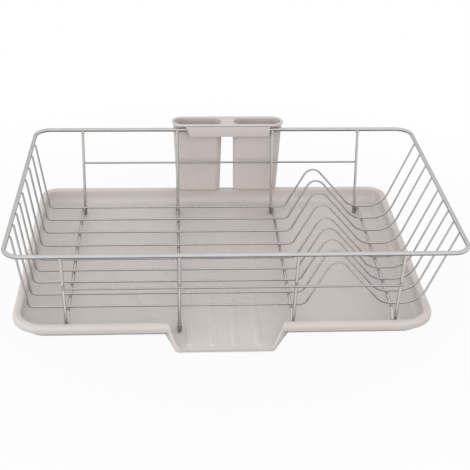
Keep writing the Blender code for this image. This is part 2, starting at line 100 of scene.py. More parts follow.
# Half sizes of the weld beads across, along and up, as shares of their wires' diameters
FLOOR_BEAD = (0.62, 0.72, 0.42)
LONG_BEAD = (0.5, 0.7, 0.66)
CROSS_BEAD = (0.7, 0.64, 0.7)
RAIL_BEAD = (0.6, 0.36, 0.62)
# Round at a wire's tips, as a share of its diameter
TIP_ROUND = 0.15

# How far faces are kept apart, so that no two lie in one plane at a cut
SKIM = 0.0001
# Lean of the tray's wall, and how near two places count as one
LEAN = 0.00001
TOUCH = 0.000001
# Share of the room that two neighbouring corners take up
ALMOST = 0.97
# Share of the sheet by which the spout overlaps the shell
SLIVER = 0.25
# Share of a rib's section that its ends keep, just under the floor
RIB_SUNK = 0.4
# Upward share of a normal at which a face counts as level
LEVEL = 0.5

# Heights where the painted shade on a wire's underside stops: never, and over the tray, whose shade it stands for
ALL_HEIGHTS = (1.0, 2.0)
NEAR_TRAY = (0.026, 0.045)
# Skins as slot, (scale, detail) of the clouds in colour, roughness and grain, and the grain's strength and depth
SKINS = {
    "chrome": ("satin_chrome", (60.0, 2.0), (140.0, 2.0), (700.0, 2.0), 0.03, 0.00006),
    "plastic": ("greige_plastic", (9.0, 3.0), (60.0, 4.0), (1400.0, 2.0), 0.10, 0.00008),
    "vinyl": ("dark_cap", (240.0, 3.0), (500.0, 2.0), (1600.0, 2.0), 0.15, 0.0001),
}
# Finishes as skin, colours, and the slopes and heights over which the third colour, a painted shade, takes a wire's
# underside
FINISHES = {
    # The plated finishes are lighter and darker copies of one chrome, painted for how light falls on each wire set
    "plated_rim": ("chrome", ("rim", "rim_dull", "rim_painted_shade"), (0.15, -0.35, *ALL_HEIGHTS)),
    "plated_leg": ("chrome", ("leg", "leg_dull", "leg_painted_shade"), (-0.15, -0.75, *ALL_HEIGHTS)),
    "plated_rail": ("chrome", ("thin_dull", "thin_dull", "thin_painted_shade"), (0.25, -0.25, *ALL_HEIGHTS)),
    "plated_wire": ("chrome", ("thin", "thin_dull", "thin_painted_shade"), (0.05, -0.35, *NEAR_TRAY)),
    "moulded_plastic": ("plastic", ("plastic", "plastic_warm"), ()),
    "cap_vinyl": ("vinyl", ("cap", "cap_light"), ()),
}
# Values between which the clouds spread, and a group's inputs
CLOUDS = (0.3, 0.7)
DRIFT_INPUTS = ("Scale", "Detail", "Low", "High")
UNDERSIDE_INPUTS = ("Start", "End", "Low", "High")
# Places of the colours among a mix node's inputs and outputs
MIX_START, MIX_END, MIX_RESULT = 6, 7, 2
WHITE = (1.0, 1.0, 1.0, 1.0)

# Soft boxes as (place, size, whether reflections show it); the studio holds their powers
LAMPS = {
    "front": ((-0.2, -2.2, 1.4), 3.0, True),
    "fill": ((0.2, -1.8, 0.6), 1.6, False),
    "left": ((-1.9, -0.7, 0.45), 1.0, False),
    "right": ((1.9, -0.6, 1.1), 1.2, False),
    "top": ((-0.3, 0.1, 2.0), 1.4, False),
}
SENSOR = 36.0
FLOOR_SIZE = 6.0
FLOOR_ROUGHNESS = 0.7
# Distances from the middle over which the floor goes from its near glow to its far one
GLOW_START, GLOW_END = 0.24, 0.55


def middle(node):
    """The middle of a CAD node's box."""
    low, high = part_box(node)
    return (Vector(low) + Vector(high)) / 2


def extent(node):
    """The size of a CAD node's box."""
    low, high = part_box(node)
    return Vector(high) - Vector(low)


RIM_MIDDLE = middle("rim_wire")
RIM_BACK = RIM_MIDDLE.y + (extent("rim_wire").y - extent("rim_wire").z) / 2
ORIGIN = Vector((0.0, RIM_MIDDLE.y, RIM_MIDDLE.z - RIM_HEIGHT))
TRAY_LOW, TRAY_HIGH = (Vector(corner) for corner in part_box("drain_tray"))
HOLDER_LOW, HOLDER_HIGH = (Vector(corner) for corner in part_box("utensil_holder"))
TRAY_MIDDLE = (TRAY_LOW.x + TRAY_HIGH.x) / 2
HOLDER_MIDDLE = (HOLDER_LOW.x + HOLDER_HIGH.x) / 2
LONG_PLACES = [Vector((0.0, middle(node).y, ORIGIN.z)) for node in LONG_NODES]
CROSS_PLACES = [ORIGIN + Vector((middle(node).x, 0.0, 0.0)) for node in CROSS_NODES]


def amount(name, description, default, unit="NONE"):
    """A number, shown in its unit."""
    return FloatProperty(name=name, description=description, default=default, unit=unit, precision=4)


def length(name, description, default):
    """A length in scene units."""
    return amount(name, description, default, "LENGTH")


def colour(name, description, default):
    """A colour with a colour picker."""
    return FloatVectorProperty(name=name, description=description, default=default, subtype="COLOR", min=0, max=1)


class WireSizes(bpy.types.PropertyGroup):
    """Sizes of the wires."""

    rim: length("Rim wire", "Diameter of the rim wire", extent("rim_wire").z)
    long: length("Long wires", "Diameter of the floor wires", extent("long_wire_1").y)
    cross: length("Cross wires", "Diameter of the wires with the feet", extent("cross_wire_1").x)
    rail: length("Rails", "Diameter of the rails", extent("rail_front").y)
    rim_corner: length("Rim corner", "Radius of the rim's corners", 0.018)
    sink: length("Weld depth", "How far a wire's end sinks into the rim", 0.0006)
    cap: length("Cap", "Diameter of a foot cap", 0.0047)
    cap_wall: length("Cap wall", "Thickness of a foot cap's wall", 0.0006)


class TraySizes(bpy.types.PropertyGroup):
    """Sizes of the drip tray."""

    sheet: length("Sheet", "Thickness of the tray", 0.0018)
    floor: length("Floor", "Height of the floor over the table", 0.0042)
    crest: length("Crest", "Height of the lip over the floor", 0.0172)
    lip: length("Lip", "Width of the lip", 0.0091)
    outer_round: length("Outer round", "Radius of the lip's outer edge", 0.0045)
    inner_round: length("Inner round", "Radius of the lip's inner edge", 0.0022)
    skirt: length("Skirt", "Height of the lip's outer side", 0.0074)
    floor_round: length("Floor round", "Radius between wall and floor", 0.0085)
    front_corner: length("Front corner", "Radius of the front corners", 0.036)
    back_corner: length("Back corner", "Radius of the back corners", 0.022)
    reach: length("Spout reach", "How far the spout stands out", 0.0178)
    end_wall: length("Spout side", "Height of the spout's sides at its end", 0.0014)
    fall: length("Spout fall", "Drop of the spout's underside", 0.0017)
    root_left: length("Root left", "Left half width of the spout's root", 0.0616)
    root_right: length("Root right", "Right half width of the spout's root", 0.0648)
    end_left: length("End left", "Left half width of the spout's end", 0.0518)
    end_right: length("End right", "Right half width of the spout's end", 0.050)
    draft: length("Draft", "Lean of the spout's sides at the lip", 0.002)
    end_corner: length("End corner", "Radius of the spout's end corners", 0.004)
    channel_round: length("Channel round", "Radius between the spout's floor and sides", 0.003)
    spout_wall: length("Spout wall", "Thickness of the spout's sides", 0.0022)
    spout_edge: length("Spout edge", "Radius of the spout's outer edges", 0.0007)
    rib_width: length("Rib", "Width of a rib", 0.009)
    rib_height: length("Rib height", "Height of a rib", 0.0011)
    rib_shift: length("Rib shift", "How far the ribs lie left of the middle", 0.0017)
    rib_pitch: length("Rib pitch", "Distance between ribs", 0.024)
    rib_length: length("Rib length", "Length of a rib at its full height", 0.092)
    rib_ramp: length("Rib ramp", "Length of a rib's rise at its front end", 0.003)
    rib_fade: length("Rib fade", "Length of a rib's fade at its back end", 0.024)
    rib_gap: length("Rib gap", "Distance from the ribs to the spout's end", 0.006)
    bar_length: length("Bar", "Length of a foot bar", 0.198)
    bar_width: length("Bar width", "Width of a foot bar", 0.006)
    bar_inset: length("Bar inset", "Distance from the floor's round to a foot bar", 0.0004)
    ribs: IntProperty(name="Ribs", description="Number of ribs", default=4)


class HolderSizes(bpy.types.PropertyGroup):
    """Sizes of the cutlery holder."""

    wall: length("Wall", "Thickness of the cups", 0.0018)
    flange: length("Flange", "Thickness of the flange", 0.0021)
    edge: length("Edge", "Radius of the flange's upper edge", 0.0009)
    mouth: length("Mouth", "Radius of the mouths' upper edge", 0.0021)
    mouth_reach: length("Mouth reach", "How far the mouths widen to the front", 0.0035)
    set_back: length("Set back", "How far the flange lies behind the strip's front", 0.0013)
    overhang: length("Overhang", "How far the flange stands out at its ends", 0.0014)
    gap: length("Gap", "Distance between the cups", 0.0136)
    depth: length("Depth", "Depth of the cups", 0.0209)
    front: length("Front", "Distance from the back rim's middle to the cups", 0.0029)
    inner_draft: length("Inner draft", "How much the gap widens down one cup", 0.002)
    outer_draft: length("Outer draft", "How much a cup narrows at its outer end", 0.0043)
    depth_draft: length("Depth draft", "How much a cup narrows in depth", 0.0012)
    end_radius: length("End radius", "Radius at the cups' outer ends", 0.0102)
    front_radius: length("Front radius", "Radius at the gap, at the front", 0.0095)
    back_radius: length("Back radius", "Radius at the gap, at the back", 0.0108)
    bottom: length("Bottom", "Radius round the cups' bottom", 0.0042)
    plate: length("Plate", "Thickness of the hook's plate", 0.0029)
    strip: length("Strip", "Thickness of the strip", 0.002)
    strip_drop: length("Strip drop", "Drop of the strip's top under the flange's", 0.0028)
    strip_height: length("Strip height", "Height of the strip", 0.0130)
    strip_length: length("Strip length", "Length of the strip", 0.106)
    strip_slant: length("Slant", "How far the strip's left end slants", 0.0056)
    strip_round: length("Strip edge", "Radius of the strip's edges", 0.0006)


class Finishes(bpy.types.PropertyGroup):
    """Colours and roughness of the finishes."""

    # The rim, legs and thin wires share one chrome; their differing colours are lighter and darker copies of it,
    # painted light for how light falls on each
    rim: colour("Rim", "Colour of the rim", (0.61, 0.602, 0.597))
    rim_dull: colour("Rim shade", "Duller colour of the rim", (0.56, 0.552, 0.547))
    # Painted shade on the rim's underside, where it faces the tray
    rim_painted_shade: colour("Rim underside", "Colour of the rim underneath", (0.19, 0.186, 0.183))
    leg: colour("Legs", "Colour of the wires with the feet", (0.64, 0.624, 0.612))
    leg_dull: colour("Leg shade", "Duller colour of the legs", (0.57, 0.555, 0.544))
    # Painted shade on the legs' undersides
    leg_painted_shade: colour("Leg underside", "Colour of the legs underneath", (0.26, 0.253, 0.248))
    thin: colour("Thin wire", "Colour of the thin wire", (0.54, 0.53, 0.524))
    thin_dull: colour("Thin wire shade", "Duller colour of the thin wire", (0.49, 0.481, 0.475))
    # Painted shade on the thin wires' undersides, where they face the tray
    thin_painted_shade: colour("Thin wire underside", "Colour of the thin wire underneath", (0.09, 0.088, 0.086))
    chrome_edge: colour("Chrome edge", "Tint of the wire at a low angle", (0.55, 0.55, 0.55))
    chrome_low: amount("Chrome low", "Least roughness of the wire", 0.20)
    chrome_high: amount("Chrome high", "Most roughness of the wire", 0.30)
    plastic: colour("Plastic", "Colour of the tray and the holder", (0.605, 0.562, 0.538))
    plastic_warm: colour("Plastic shade", "Warmer colour of the plastic", (0.578, 0.528, 0.500))
    plastic_low: amount("Plastic low", "Least roughness of the plastic", 0.36)
    plastic_high: amount("Plastic high", "Most roughness of the plastic", 0.50)
    cap: colour("Cap", "Colour of the foot caps", (0.17, 0.15, 0.142))
    cap_light: colour("Cap shade", "Lighter colour of the foot caps", (0.25, 0.225, 0.213))
    vinyl_low: amount("Cap low", "Least roughness of the foot caps", 0.34)
    vinyl_high: amount("Cap high", "Most roughness of the foot caps", 0.52)


class Studio(bpy.types.PropertyGroup):
    """Camera and lamps."""

    lens: amount("Lens", "Focal length of the camera", 80.213, "CAMERA")
    yaw: amount("Yaw", "Turn to the right", 0.0661138, "ROTATION")
    pitch: amount("Pitch", "Tilt downwards", 0.4996468, "ROTATION")
    roll: amount("Roll", "Turn about the line of sight", 0.0233767, "ROTATION")
    place: FloatVectorProperty(
        name="Place",
        description="Place of the camera in the basket's frame",
        default=(-0.0649896, -1.0638933, 0.6234519),
        subtype="TRANSLATION",
    )
    ambient: amount("Ambient", "Strength of the light from all round", 0.79)
    front: amount("Front", "Power of the soft box high in front", 4.0, "POWER")
    fill: amount("Fill", "Power of the soft box low in front", 9.0, "POWER")
    left: amount("Left", "Power of the soft box low on the left", 16.0, "POWER")
    right: amount("Right", "Power of the soft box high on the right", 6.0, "POWER")
    top: amount("Top", "Power of the soft box overhead", 2.5, "POWER")
    floor: colour("Floor", "Colour of the floor", (0.32, 0.32, 0.32))
    glow_near: amount("Glow near", "Share of white in the floor near the object", 0.95)
    glow_far: amount("Glow far", "Share of white in the floor far away", 1.0)


def add(name, data):
    """An object of the data, in the scene."""
    made = bpy.data.objects.new(name, data)
    bpy.context.scene.collection.objects.link(made)
    return made


def mesh_of(name, shape):
    """A mesh that takes over a bmesh."""
    mesh = bpy.data.meshes.new(name)
    shape.to_mesh(mesh)
    shape.free()
    return mesh


def converted(obj, kind):
    """The object as a curve or a mesh."""
    bpy.ops.object.select_all(action="DESELECT")
    obj.select_set(True)
    bpy.context.view_layer.objects.active = obj
    bpy.ops.object.convert(target=kind)
    return bpy.context.view_layer.objects.active


def settled(obj):
    """The object with its modifiers worked into its mesh."""
    graph = bpy.context.evaluated_depsgraph_get()
    mesh = bpy.data.meshes.new_from_object(obj.evaluated_get(graph))
    obj.modifiers.clear()
    obj.data = mesh
    return obj


def smooth(obj, degrees):
    """Smooth shading, with the edges over the angle kept crisp."""
    obj.data.shade_smooth()
    obj.data.set_sharp_from_angle(angle=math.radians(degrees))


def finished(obj, body, finish, nodes=()):
    """Finish, body and slot of a piece, and the CAD nodes that it stands for."""
    obj.data.materials.clear()
    obj.data.materials.append(material_for(finish))
    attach(obj, body)
    if nodes:
        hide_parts(*nodes)


def rounded(shape, parts, offset, steps, affect="EDGES"):
    """Rounds edges, or corners where affect says VERTICES."""
    bmesh.ops.bevel(
        shape,
        geom=parts,
        offset=offset,
        offset_type="OFFSET",
        segments=steps,
        profile=0.5,
        affect=affect,
        material=-1,
        clamp_overlap=affect == "EDGES",
    )


def round_corner(shape, corner, radius, steps):
    """Rounds a corner of a path or of a face's outline."""
    one, two = (edge.other_vert(corner).co - corner.co for edge in corner.link_edges)
    turn = math.pi - one.angle(two)
    rounded(shape, [corner], radius * math.tan(turn / 2), steps, "VERTICES")


def outwards(shape):
    """Turns a solid's faces outwards."""
    bmesh.ops.recalc_face_normals(shape, faces=shape.faces)


def edges_under(shape, limit, axis=2):
    """The edges that lie under a limit on an axis from end to end."""
    return [edge for edge in shape.edges if max(vert.co[axis] for vert in edge.verts) < limit]


def end_faces(shape):
    """The flat ends of a tube, which are the only faces with more than four corners."""
    return [face for face in shape.faces if len(face.verts) > 4]


def bent_tube(name, places, radii, diameter, sides, closed=False, wall=0.0):
    """A round wire along straight runs with rounded corners; with a wall, a sleeve whose ends show its thickness."""
    shape = bmesh.new()
    corners = [shape.verts.new(place) for place in places]
    for start, end in zip(corners, corners[1:] + corners[:1] if closed else corners[1:]):
        shape.edges.new((start, end))
    for corner, radius in zip(corners, radii):
        if radius:
            round_corner(shape, corner, radius, CORNER_STEPS if closed else BEND_STEPS)
    obj = converted(add(name, mesh_of(name, shape)), "CURVE")
    obj.data.dimensions = "3D"
    obj.data.bevel_depth = diameter / 2
    obj.data.bevel_resolution = sides
    obj.data.use_fill_caps = True
    obj = converted(obj, "MESH")
    shape = bmesh.new()
    shape.from_mesh(obj.data)
    bmesh.ops.remove_doubles(shape, verts=shape.verts, dist=TOUCH)
    outwards(shape)
    rounded(shape, [edge for face in end_faces(shape) for edge in face.edges], diameter * TIP_ROUND, TIP_STEPS)
    for face in end_faces(shape) if wall else ():
        bmesh.ops.inset_region(shape, faces=[face], thickness=wall / 2, depth=0.0)
        bmesh.ops.inset_region(shape, faces=[face], thickness=wall / 6, depth=-wall * 2)
    shape.to_mesh(obj.data)
    shape.free()
    smooth(obj, CRISP_WIRE)
    return obj


def laid_out(pattern, name, nodes, places, finish):
    """Numbered copies of a piece, moved in their meshes; the pattern itself goes."""
    for number, (node, place) in enumerate(zip(nodes, places), 1):
        mesh = pattern.data.copy()
        mesh.transform(Matrix.Translation(place))
        finished(add(f"{name}_{number}", mesh), "basket", finish, [node])
    bpy.data.objects.remove(pattern)


def lengthened(start, toward, extra):
    """A wire's end, moved away from the next corner."""
    way = (Vector(start[:2]) - Vector(toward[:2])).normalized()
    return Vector(start[:2]) + way * extra


def long_wire(sizes):
    """The route of a long wire with its ends sunk into the rim."""
    start = lengthened(LONG_START, LONG_BENDS[0], sizes.sink)
    end = lengthened(LONG_END, LONG_BENDS[-1], sizes.sink)
    places = [start, *LONG_BENDS, end]
    radii = [0.0, *(bend[2] for bend in LONG_BENDS), 0.0]
    return [(place[0], 0.0, place[1]) for place in places], radii


def cross_wire(sizes):
    """The route of a cross wire from the front rim to the back rim."""
    top = lengthened(CROSS_TOP, CROSS_FOOT, sizes.sink)
    half = [top, CROSS_FOOT, CROSS_FLOOR]
    places = [(0.0, -place[0], place[1]) for place in half] + [(0.0, place[0], place[1]) for place in half[::-1]]
    radii = [0.0, CROSS_FOOT[2], CROSS_FLOOR[2], CROSS_FLOOR[2], CROSS_FOOT[2], 0.0]
    return places, radii


def shader_node(tree, kind, inputs=(), **settings):
    """The outputs of a new shader node; its inputs take values or other nodes' outputs."""
    made = tree.nodes.new(f"ShaderNode{kind}")
    for name, value in settings.items():
        setattr(made, name, value)
    for label, value in dict(inputs).items():
        if isinstance(value, bpy.types.NodeSocket):
            tree.links.new(value, made.inputs[label])
        else:
            made.inputs[label].default_value = value
    return made.outputs


def node_group(name, inputs, output):
    """A shader node group with float sockets, with what it is given and where its result goes."""
    tree = bpy.data.node_groups.new(name, "ShaderNodeTree")
    for label in inputs:
        tree.interface.new_socket(name=label, in_out="INPUT", socket_type="NodeSocketFloat")
    tree.interface.new_socket(name=output, in_out="OUTPUT", socket_type="NodeSocketFloat")
    return tree, tree.nodes.new("NodeGroupInput").outputs, tree.nodes.new("NodeGroupOutput").inputs[output]


def drift_group():
    """A value that drifts over the surface between a low and a high one."""
    tree, given, result = node_group("surface_drift", DRIFT_INPUTS, "Value")
    place = shader_node(tree, "TexCoord")["Object"]
    noise = shader_node(tree, "TexNoise", {"Vector": place, "Scale": given["Scale"], "Detail": given["Detail"]})
    spread = {"From Min": CLOUDS[0], "From Max": CLOUDS[1], "To Min": given["Low"], "To Max": given["High"]}
    tree.links.new(shader_node(tree, "MapRange", {"Value": noise["Fac"], **spread})["Result"], result)
    return tree


def drift(tree, clouds, low=0.0, high=1.0):
    """A drifting value in a material."""
    group = bpy.data.node_groups.get("surface_drift") or drift_group()
    return shader_node(tree, "Group", zip(DRIFT_INPUTS, (*clouds, low, high)), node_tree=group)["Value"]


def underside_shade_group():
    """A mask for painted shade that grows as a side turns down over a range of slopes, and fades over a range of
    heights.
    """
    tree, given, result = node_group("underside", UNDERSIDE_INPUTS, "Mask")
    masks = []
    for vector, start, end, first, last in (
        (shader_node(tree, "NewGeometry")["Normal"], "Start", "End", 0.0, 1.0),
        (shader_node(tree, "TexCoord")["Object"], "Low", "High", 1.0, 0.0),
    ):
        height = shader_node(tree, "SeparateXYZ", {"Vector": vector})["Z"]
        spread = {"From Min": given[start], "From Max": given[end], "To Min": first, "To Max": last}
        mask = shader_node(tree, "MapRange", {"Value": height, **spread}, interpolation_type="SMOOTHSTEP")
        masks.append(mask["Result"])
    tree.links.new(shader_node(tree, "Math", enumerate(masks), operation="MULTIPLY")["Value"], result)
    return tree


def underside(tree, shade):
    """The mask of the painted shade on a wire's underside, in a material."""
    group = bpy.data.node_groups.get("underside") or underside_shade_group()
    return shader_node(tree, "Group", zip(UNDERSIDE_INPUTS, shade), node_tree=group)["Mask"]


def clouded(tree, factor, first, second):
    """A colour between two, by a factor; the first may be another node's output."""
    start = first if isinstance(first, bpy.types.NodeSocket) else (*first, 1.0)
    inputs = {0: factor, MIX_START: start, MIX_END: (*second, 1.0)}
    return shader_node(tree, "Mix", inputs, data_type="RGBA")[MIX_RESULT]


def new_material(name):
    """A new material with its tree and shader."""
    material = bpy.data.materials.new(name)
    material.use_nodes = True
    tree = material.node_tree
    return material, tree, tree.nodes["Principled BSDF"]


def material_for(name):
    """The finish of that name, made on first use, with clouds in its colour, roughness and grain."""
    if name in bpy.data.materials:
        return bpy.data.materials[name]
    finishes = bpy.context.scene.drainer_finishes
    skin, colours, shade = FINISHES[name]
    tint_clouds, rough_clouds, grain_clouds, strength, depth = SKINS[skin][1:]
    bright, dull, *under = [getattr(finishes, label) for label in colours]
    material, tree, shader = new_material(name)
    tint = clouded(tree, drift(tree, tint_clouds), bright, dull)
    if under:
        # The third colour is painted shade, laid on the wire's underside by the mask
        tint = clouded(tree, underside(tree, shade), tint, under[0])
        shader.inputs["Metallic"].default_value = 1.0
        shader.inputs["Specular Tint"].default_value = (*finishes.chrome_edge, 1.0)
    rough = drift(tree, rough_clouds, getattr(finishes, f"{skin}_low"), getattr(finishes, f"{skin}_high"))
    grain = {"Strength": strength, "Distance": depth, "Height": drift(tree, grain_clouds)}
    tree.links.new(tint, shader.inputs["Base Color"])
    tree.links.new(rough, shader.inputs["Roughness"])
    tree.links.new(shader_node(tree, "Bump", grain)["Normal"], shader.inputs["Normal"])
    return material


class DRAINER_OT_rim(bpy.types.Operator):
    """Bends the thick wire round the top of the basket"""

    bl_idname = "drainer.rim"
    bl_label = "Rim"

    def execute(self, context):
        sizes = context.scene.drainer_wires
        half = (extent("rim_wire") - Vector((sizes.rim, sizes.rim, 0.0))) / 2
        signs = ((-1, -1), (1, -1), (1, 1), (-1, 1))
        places = [RIM_MIDDLE + Vector((half.x * x, half.y * y, 0.0)) for x, y in signs]
        rim = bent_tube("rim", places, [sizes.rim_corner] * 4, sizes.rim, RIM_ROUND, closed=True)
        finished(rim, "basket", "plated_rim", ["rim_wire"])
        return {"FINISHED"}


class DRAINER_OT_long_wires(bpy.types.Operator):
    """Bends the wires of the floor, the end walls and the plate hump"""

    bl_idname = "drainer.long_wires"
    bl_label = "Long wires"

    def execute(self, context):
        sizes = context.scene.drainer_wires
        pattern = bent_tube("long_pattern", *long_wire(sizes), sizes.long, WIRE_ROUND)
        laid_out(pattern, "floor_wire", LONG_NODES, LONG_PLACES, "plated_wire")
        return {"FINISHED"}


class DRAINER_OT_cross_wires(bpy.types.Operator):
    """Bends the wires under the floor, with their V feet"""

    bl_idname = "drainer.cross_wires"
    bl_label = "Cross wires"

    def execute(self, context):
        sizes = context.scene.drainer_wires
        pattern = bent_tube("cross_pattern", *cross_wire(sizes), sizes.cross, WIRE_ROUND)
        laid_out(pattern, "leg_wire", CROSS_NODES, CROSS_PLACES, "plated_leg")
        return {"FINISHED"}


class DRAINER_OT_rails(bpy.types.Operator):
    """Lays the two straight wires along the outside of the legs"""

    bl_idname = "drainer.rails"
    bl_label = "Rails"

    def execute(self, context):
        sizes = context.scene.drainer_wires
        for node in RAIL_NODES:
            reach = Vector((extent(node).x / 2, 0.0, 0.0))
            places = [middle(node) - reach, middle(node) + reach]
            wire = bent_tube(node.replace("rail", "side_rail"), places, [0.0, 0.0], sizes.rail, WIRE_ROUND)
            finished(wire, "basket", "plated_rail", [node])
        return {"FINISHED"}


def weld_beads(sizes):
    """The places of the beads in each piece of welds, with their shares and their wires' diameters."""
    cross, long, rail = sizes.cross, sizes.long, sizes.rail
    over = ORIGIN.z + CROSS_FLOOR[1] + cross / 2
    crossings = [(leg.x, wire.y, over) for leg in CROSS_PLACES for wire in LONG_PLACES]
    ends = [(x, wire.y, ORIGIN.z + up) for wire in LONG_PLACES for x, up in (LONG_START, LONG_END)]
    tops = [leg + Vector((0.0, side * CROSS_TOP[0], CROSS_TOP[1])) for leg in CROSS_PLACES for side in (-1, 1)]
    touches = [
        (leg.x, middle(node).y - side * rail / 2, middle(node).z)
        for node, side in zip(RAIL_NODES, (1, -1))
        for leg in CROSS_PLACES
    ]
    return {
        "floor_welds": [(crossings, FLOOR_BEAD, cross, long)],
        "rim_welds": [(ends, LONG_BEAD, long, long), (tops, CROSS_BEAD, cross, cross)],
        "rail_welds": [(touches, RAIL_BEAD, cross, rail)],
    }


class DRAINER_OT_welds(bpy.types.Operator):
    """Sets a bead at each weld: a small ball pressed flat between two wires"""

    bl_idname = "drainer.welds"
    bl_label = "Welds"

    def execute(self, context):
        for name, rows in weld_beads(context.scene.drainer_wires).items():
            shape = bmesh.new()
            for places, shares, across, along in rows:
                size = Matrix.Diagonal((across * shares[0], along * shares[1], along * shares[2], 1.0))
                for place in places:
                    seat = Matrix.Translation(place) @ size
                    bmesh.ops.create_icosphere(shape, subdivisions=2, radius=1.0, matrix=seat)
            welds = add(name, mesh_of(name, shape))
            welds.data.shade_smooth()
            finished(welds, "basket", "plated_leg")
        return {"FINISHED"}


class DRAINER_OT_foot_caps(bpy.types.Operator):
    """Slips the soft caps over the V feet"""

    bl_idname = "drainer.foot_caps"
    bl_label = "Foot caps"

    def execute(self, context):
        sizes = context.scene.drainer_wires
        radii = [0.0, CROSS_FOOT[2], 0.0]
        for side, label in ((-1, "front"), (1, "back")):
            route = [(0.0, side * place[0], place[1]) for place in (CAP_TOP, CROSS_FOOT, CAP_END)]
            pattern = bent_tube("cap_pattern", route, radii, sizes.cap, CAP_ROUND, wall=sizes.cap_wall)
            nodes = [node.replace("cross_wire", f"foot_cap_{label}") for node in CROSS_NODES]
            laid_out(pattern, f"cap_{label}", nodes, CROSS_PLACES, "cap_vinyl")
        return {"FINISHED"}


def outline(shape, left, right, front, back, height, radii):
    """A level face with round corners; the radii go round from the front left over the front right."""
    places = ((left, front), (right, front), (right, back), (left, back))
    corners = [shape.verts.new((x, y, height)) for x, y in places]
    shape.faces.new(corners)
    for corner, radius in zip(corners, radii):
        round_corner(shape, corner, radius, CORNER_STEPS)
    return shape.faces[:][0]


def raised(shape, face, offset, keep=True):
    """The face, extruded and moved; the one left behind stays or goes."""
    grown = bmesh.ops.extrude_face_region(shape, geom=[face])["geom"]
    if not keep:
        shape.faces.remove(face)
    top = next(part for part in grown if isinstance(part, bmesh.types.BMFace))
    bmesh.ops.translate(shape, verts=top.verts, vec=offset)
    return top


def stepped_in(shape, face, steps):
    """Insets the face and moves it along its normal by each step (inwards, upwards)."""
    for inwards, upwards in steps:
        bmesh.ops.inset_region(
            shape, faces=[face], thickness=inwards, depth=upwards, use_boundary=True, use_even_offset=True
        )


def quarter(radius, start, end, steps=BEND_STEPS):
    """Steps (inwards, upwards) along an arc between two angles in degrees from outwards."""
    angles = [math.radians(start + (end - start) * step / steps) for step in range(steps + 1)]
    places = [(-radius * math.cos(angle), radius * math.sin(angle)) for angle in angles]
    return [(after[0] - before[0], after[1] - before[1]) for before, after in zip(places, places[1:])]


def tray_shell(sizes):
    """The tray's upper skin from the skirt over the lip to the floor, thickened downwards."""
    shape = bmesh.new()
    crest = sizes.floor + sizes.crest
    radii = [sizes.front_corner] * 2 + [sizes.back_corner] * 2
    front = TRAY_LOW.y + sizes.reach
    face = outline(shape, TRAY_LOW.x, TRAY_HIGH.x, front, TRAY_HIGH.y, crest - sizes.skirt, radii)
    face = raised(shape, face, (0.0, 0.0, sizes.skirt - sizes.outer_round), keep=False)
    wall = sizes.crest - sizes.inner_round - sizes.floor_round
    steps = quarter(sizes.outer_round, 0, 90)
    steps += [(sizes.lip - sizes.outer_round - sizes.inner_round, 0.0)]
    steps += quarter(sizes.inner_round, 90, 180)
    steps += [(LEAN, -wall)]
    steps += quarter(sizes.floor_round, 0, -90, FLOOR_STEPS)
    stepped_in(shape, face, steps)
    tray = add("tray", mesh_of("tray", shape))
    sheet = tray.modifiers.new("sheet", "SOLIDIFY")
    sheet.thickness = sizes.sheet
    sheet.offset = -1.0
    sheet.use_even_offset = True
    return settled(tray)


def join_shapes(target, operation, shapes):
    """Joins solids to the target or cuts them from it, one after another."""
    helpers = [add("tool", mesh_of("tool", shape)) for shape in shapes]
    for helper in helpers:
        step = target.modifiers.new("step", "BOOLEAN")
        step.operation = operation
        step.solver = "EXACT"
        step.object = helper
    faces = len(target.data.polygons)
    settled(target)
    if len(target.data.polygons) < faces / 2:
        raise RuntimeError(f"{target.name}: a shape did not join")
    for helper in helpers:
        bpy.data.objects.remove(helper)


def brow_depth(sizes):
    """The depth of the lip's inner side at the front."""
    return TRAY_LOW.y + sizes.reach + sizes.lip


def spout_side(sizes, side, depth):
    """Where the spout's left or right side lies at a depth; it narrows to the front."""
    brow = brow_depth(sizes)
    share = (brow - depth) / (brow - TRAY_LOW.y)
    root, end = (sizes.root_left, sizes.end_left) if side < 0 else (sizes.root_right, sizes.end_right)
    return TRAY_MIDDLE + side * (root + (end - root) * share)


def cut_along(shape, place, normal, **settings):
    """Cuts a shape along a plane."""
    parts = shape.verts[:] + shape.edges[:] + shape.faces[:]
    bmesh.ops.bisect_plane(shape, geom=parts, dist=TOUCH, plane_co=place, plane_no=normal, **settings)


def spout_solid(sizes, plan, rows):
    """A solid from a plan as (side, inset, depth, radius) and rows of (depth, low, high) that give its heights."""
    shape = bmesh.new()
    places = [(spout_side(sizes, side, depth) - side * inset, depth, 0.0) for side, inset, depth, _ in plan]
    corners = [shape.verts.new(place) for place in places]
    shape.faces.new(corners)
    for corner, (*_, radius) in zip(corners, plan):
        if radius:
            round_corner(shape, corner, radius, BEND_STEPS)
    for depth, _, _ in rows[1:-1]:
        cut_along(shape, (0, depth, 0), (0, 1, 0))
    lower = shape.verts[:]
    grown = bmesh.ops.extrude_face_region(shape, geom=shape.faces[:])["geom"]
    upper = [part for part in grown if isinstance(part, bmesh.types.BMVert)]
    for group, level in ((lower, 1), (upper, 2)):
        for corner in group:
            corner.co.z = between(rows, corner.co.y, level)
            lean = sizes.draft * max(corner.co.z - sizes.floor, 0.0) / sizes.crest
            corner.co.x += math.copysign(lean, corner.co.x - TRAY_MIDDLE)
    outwards(shape)
    return shape


def between(rows, depth, level):
    """The height at a depth, between the nearest rows."""
    for near, far in zip(rows, rows[1:]):
        if depth <= far[0] + TOUCH:
            share = (depth - near[0]) / (far[0] - near[0])
            return near[level] + (far[level] - near[level]) * share
    return rows[-1][level]


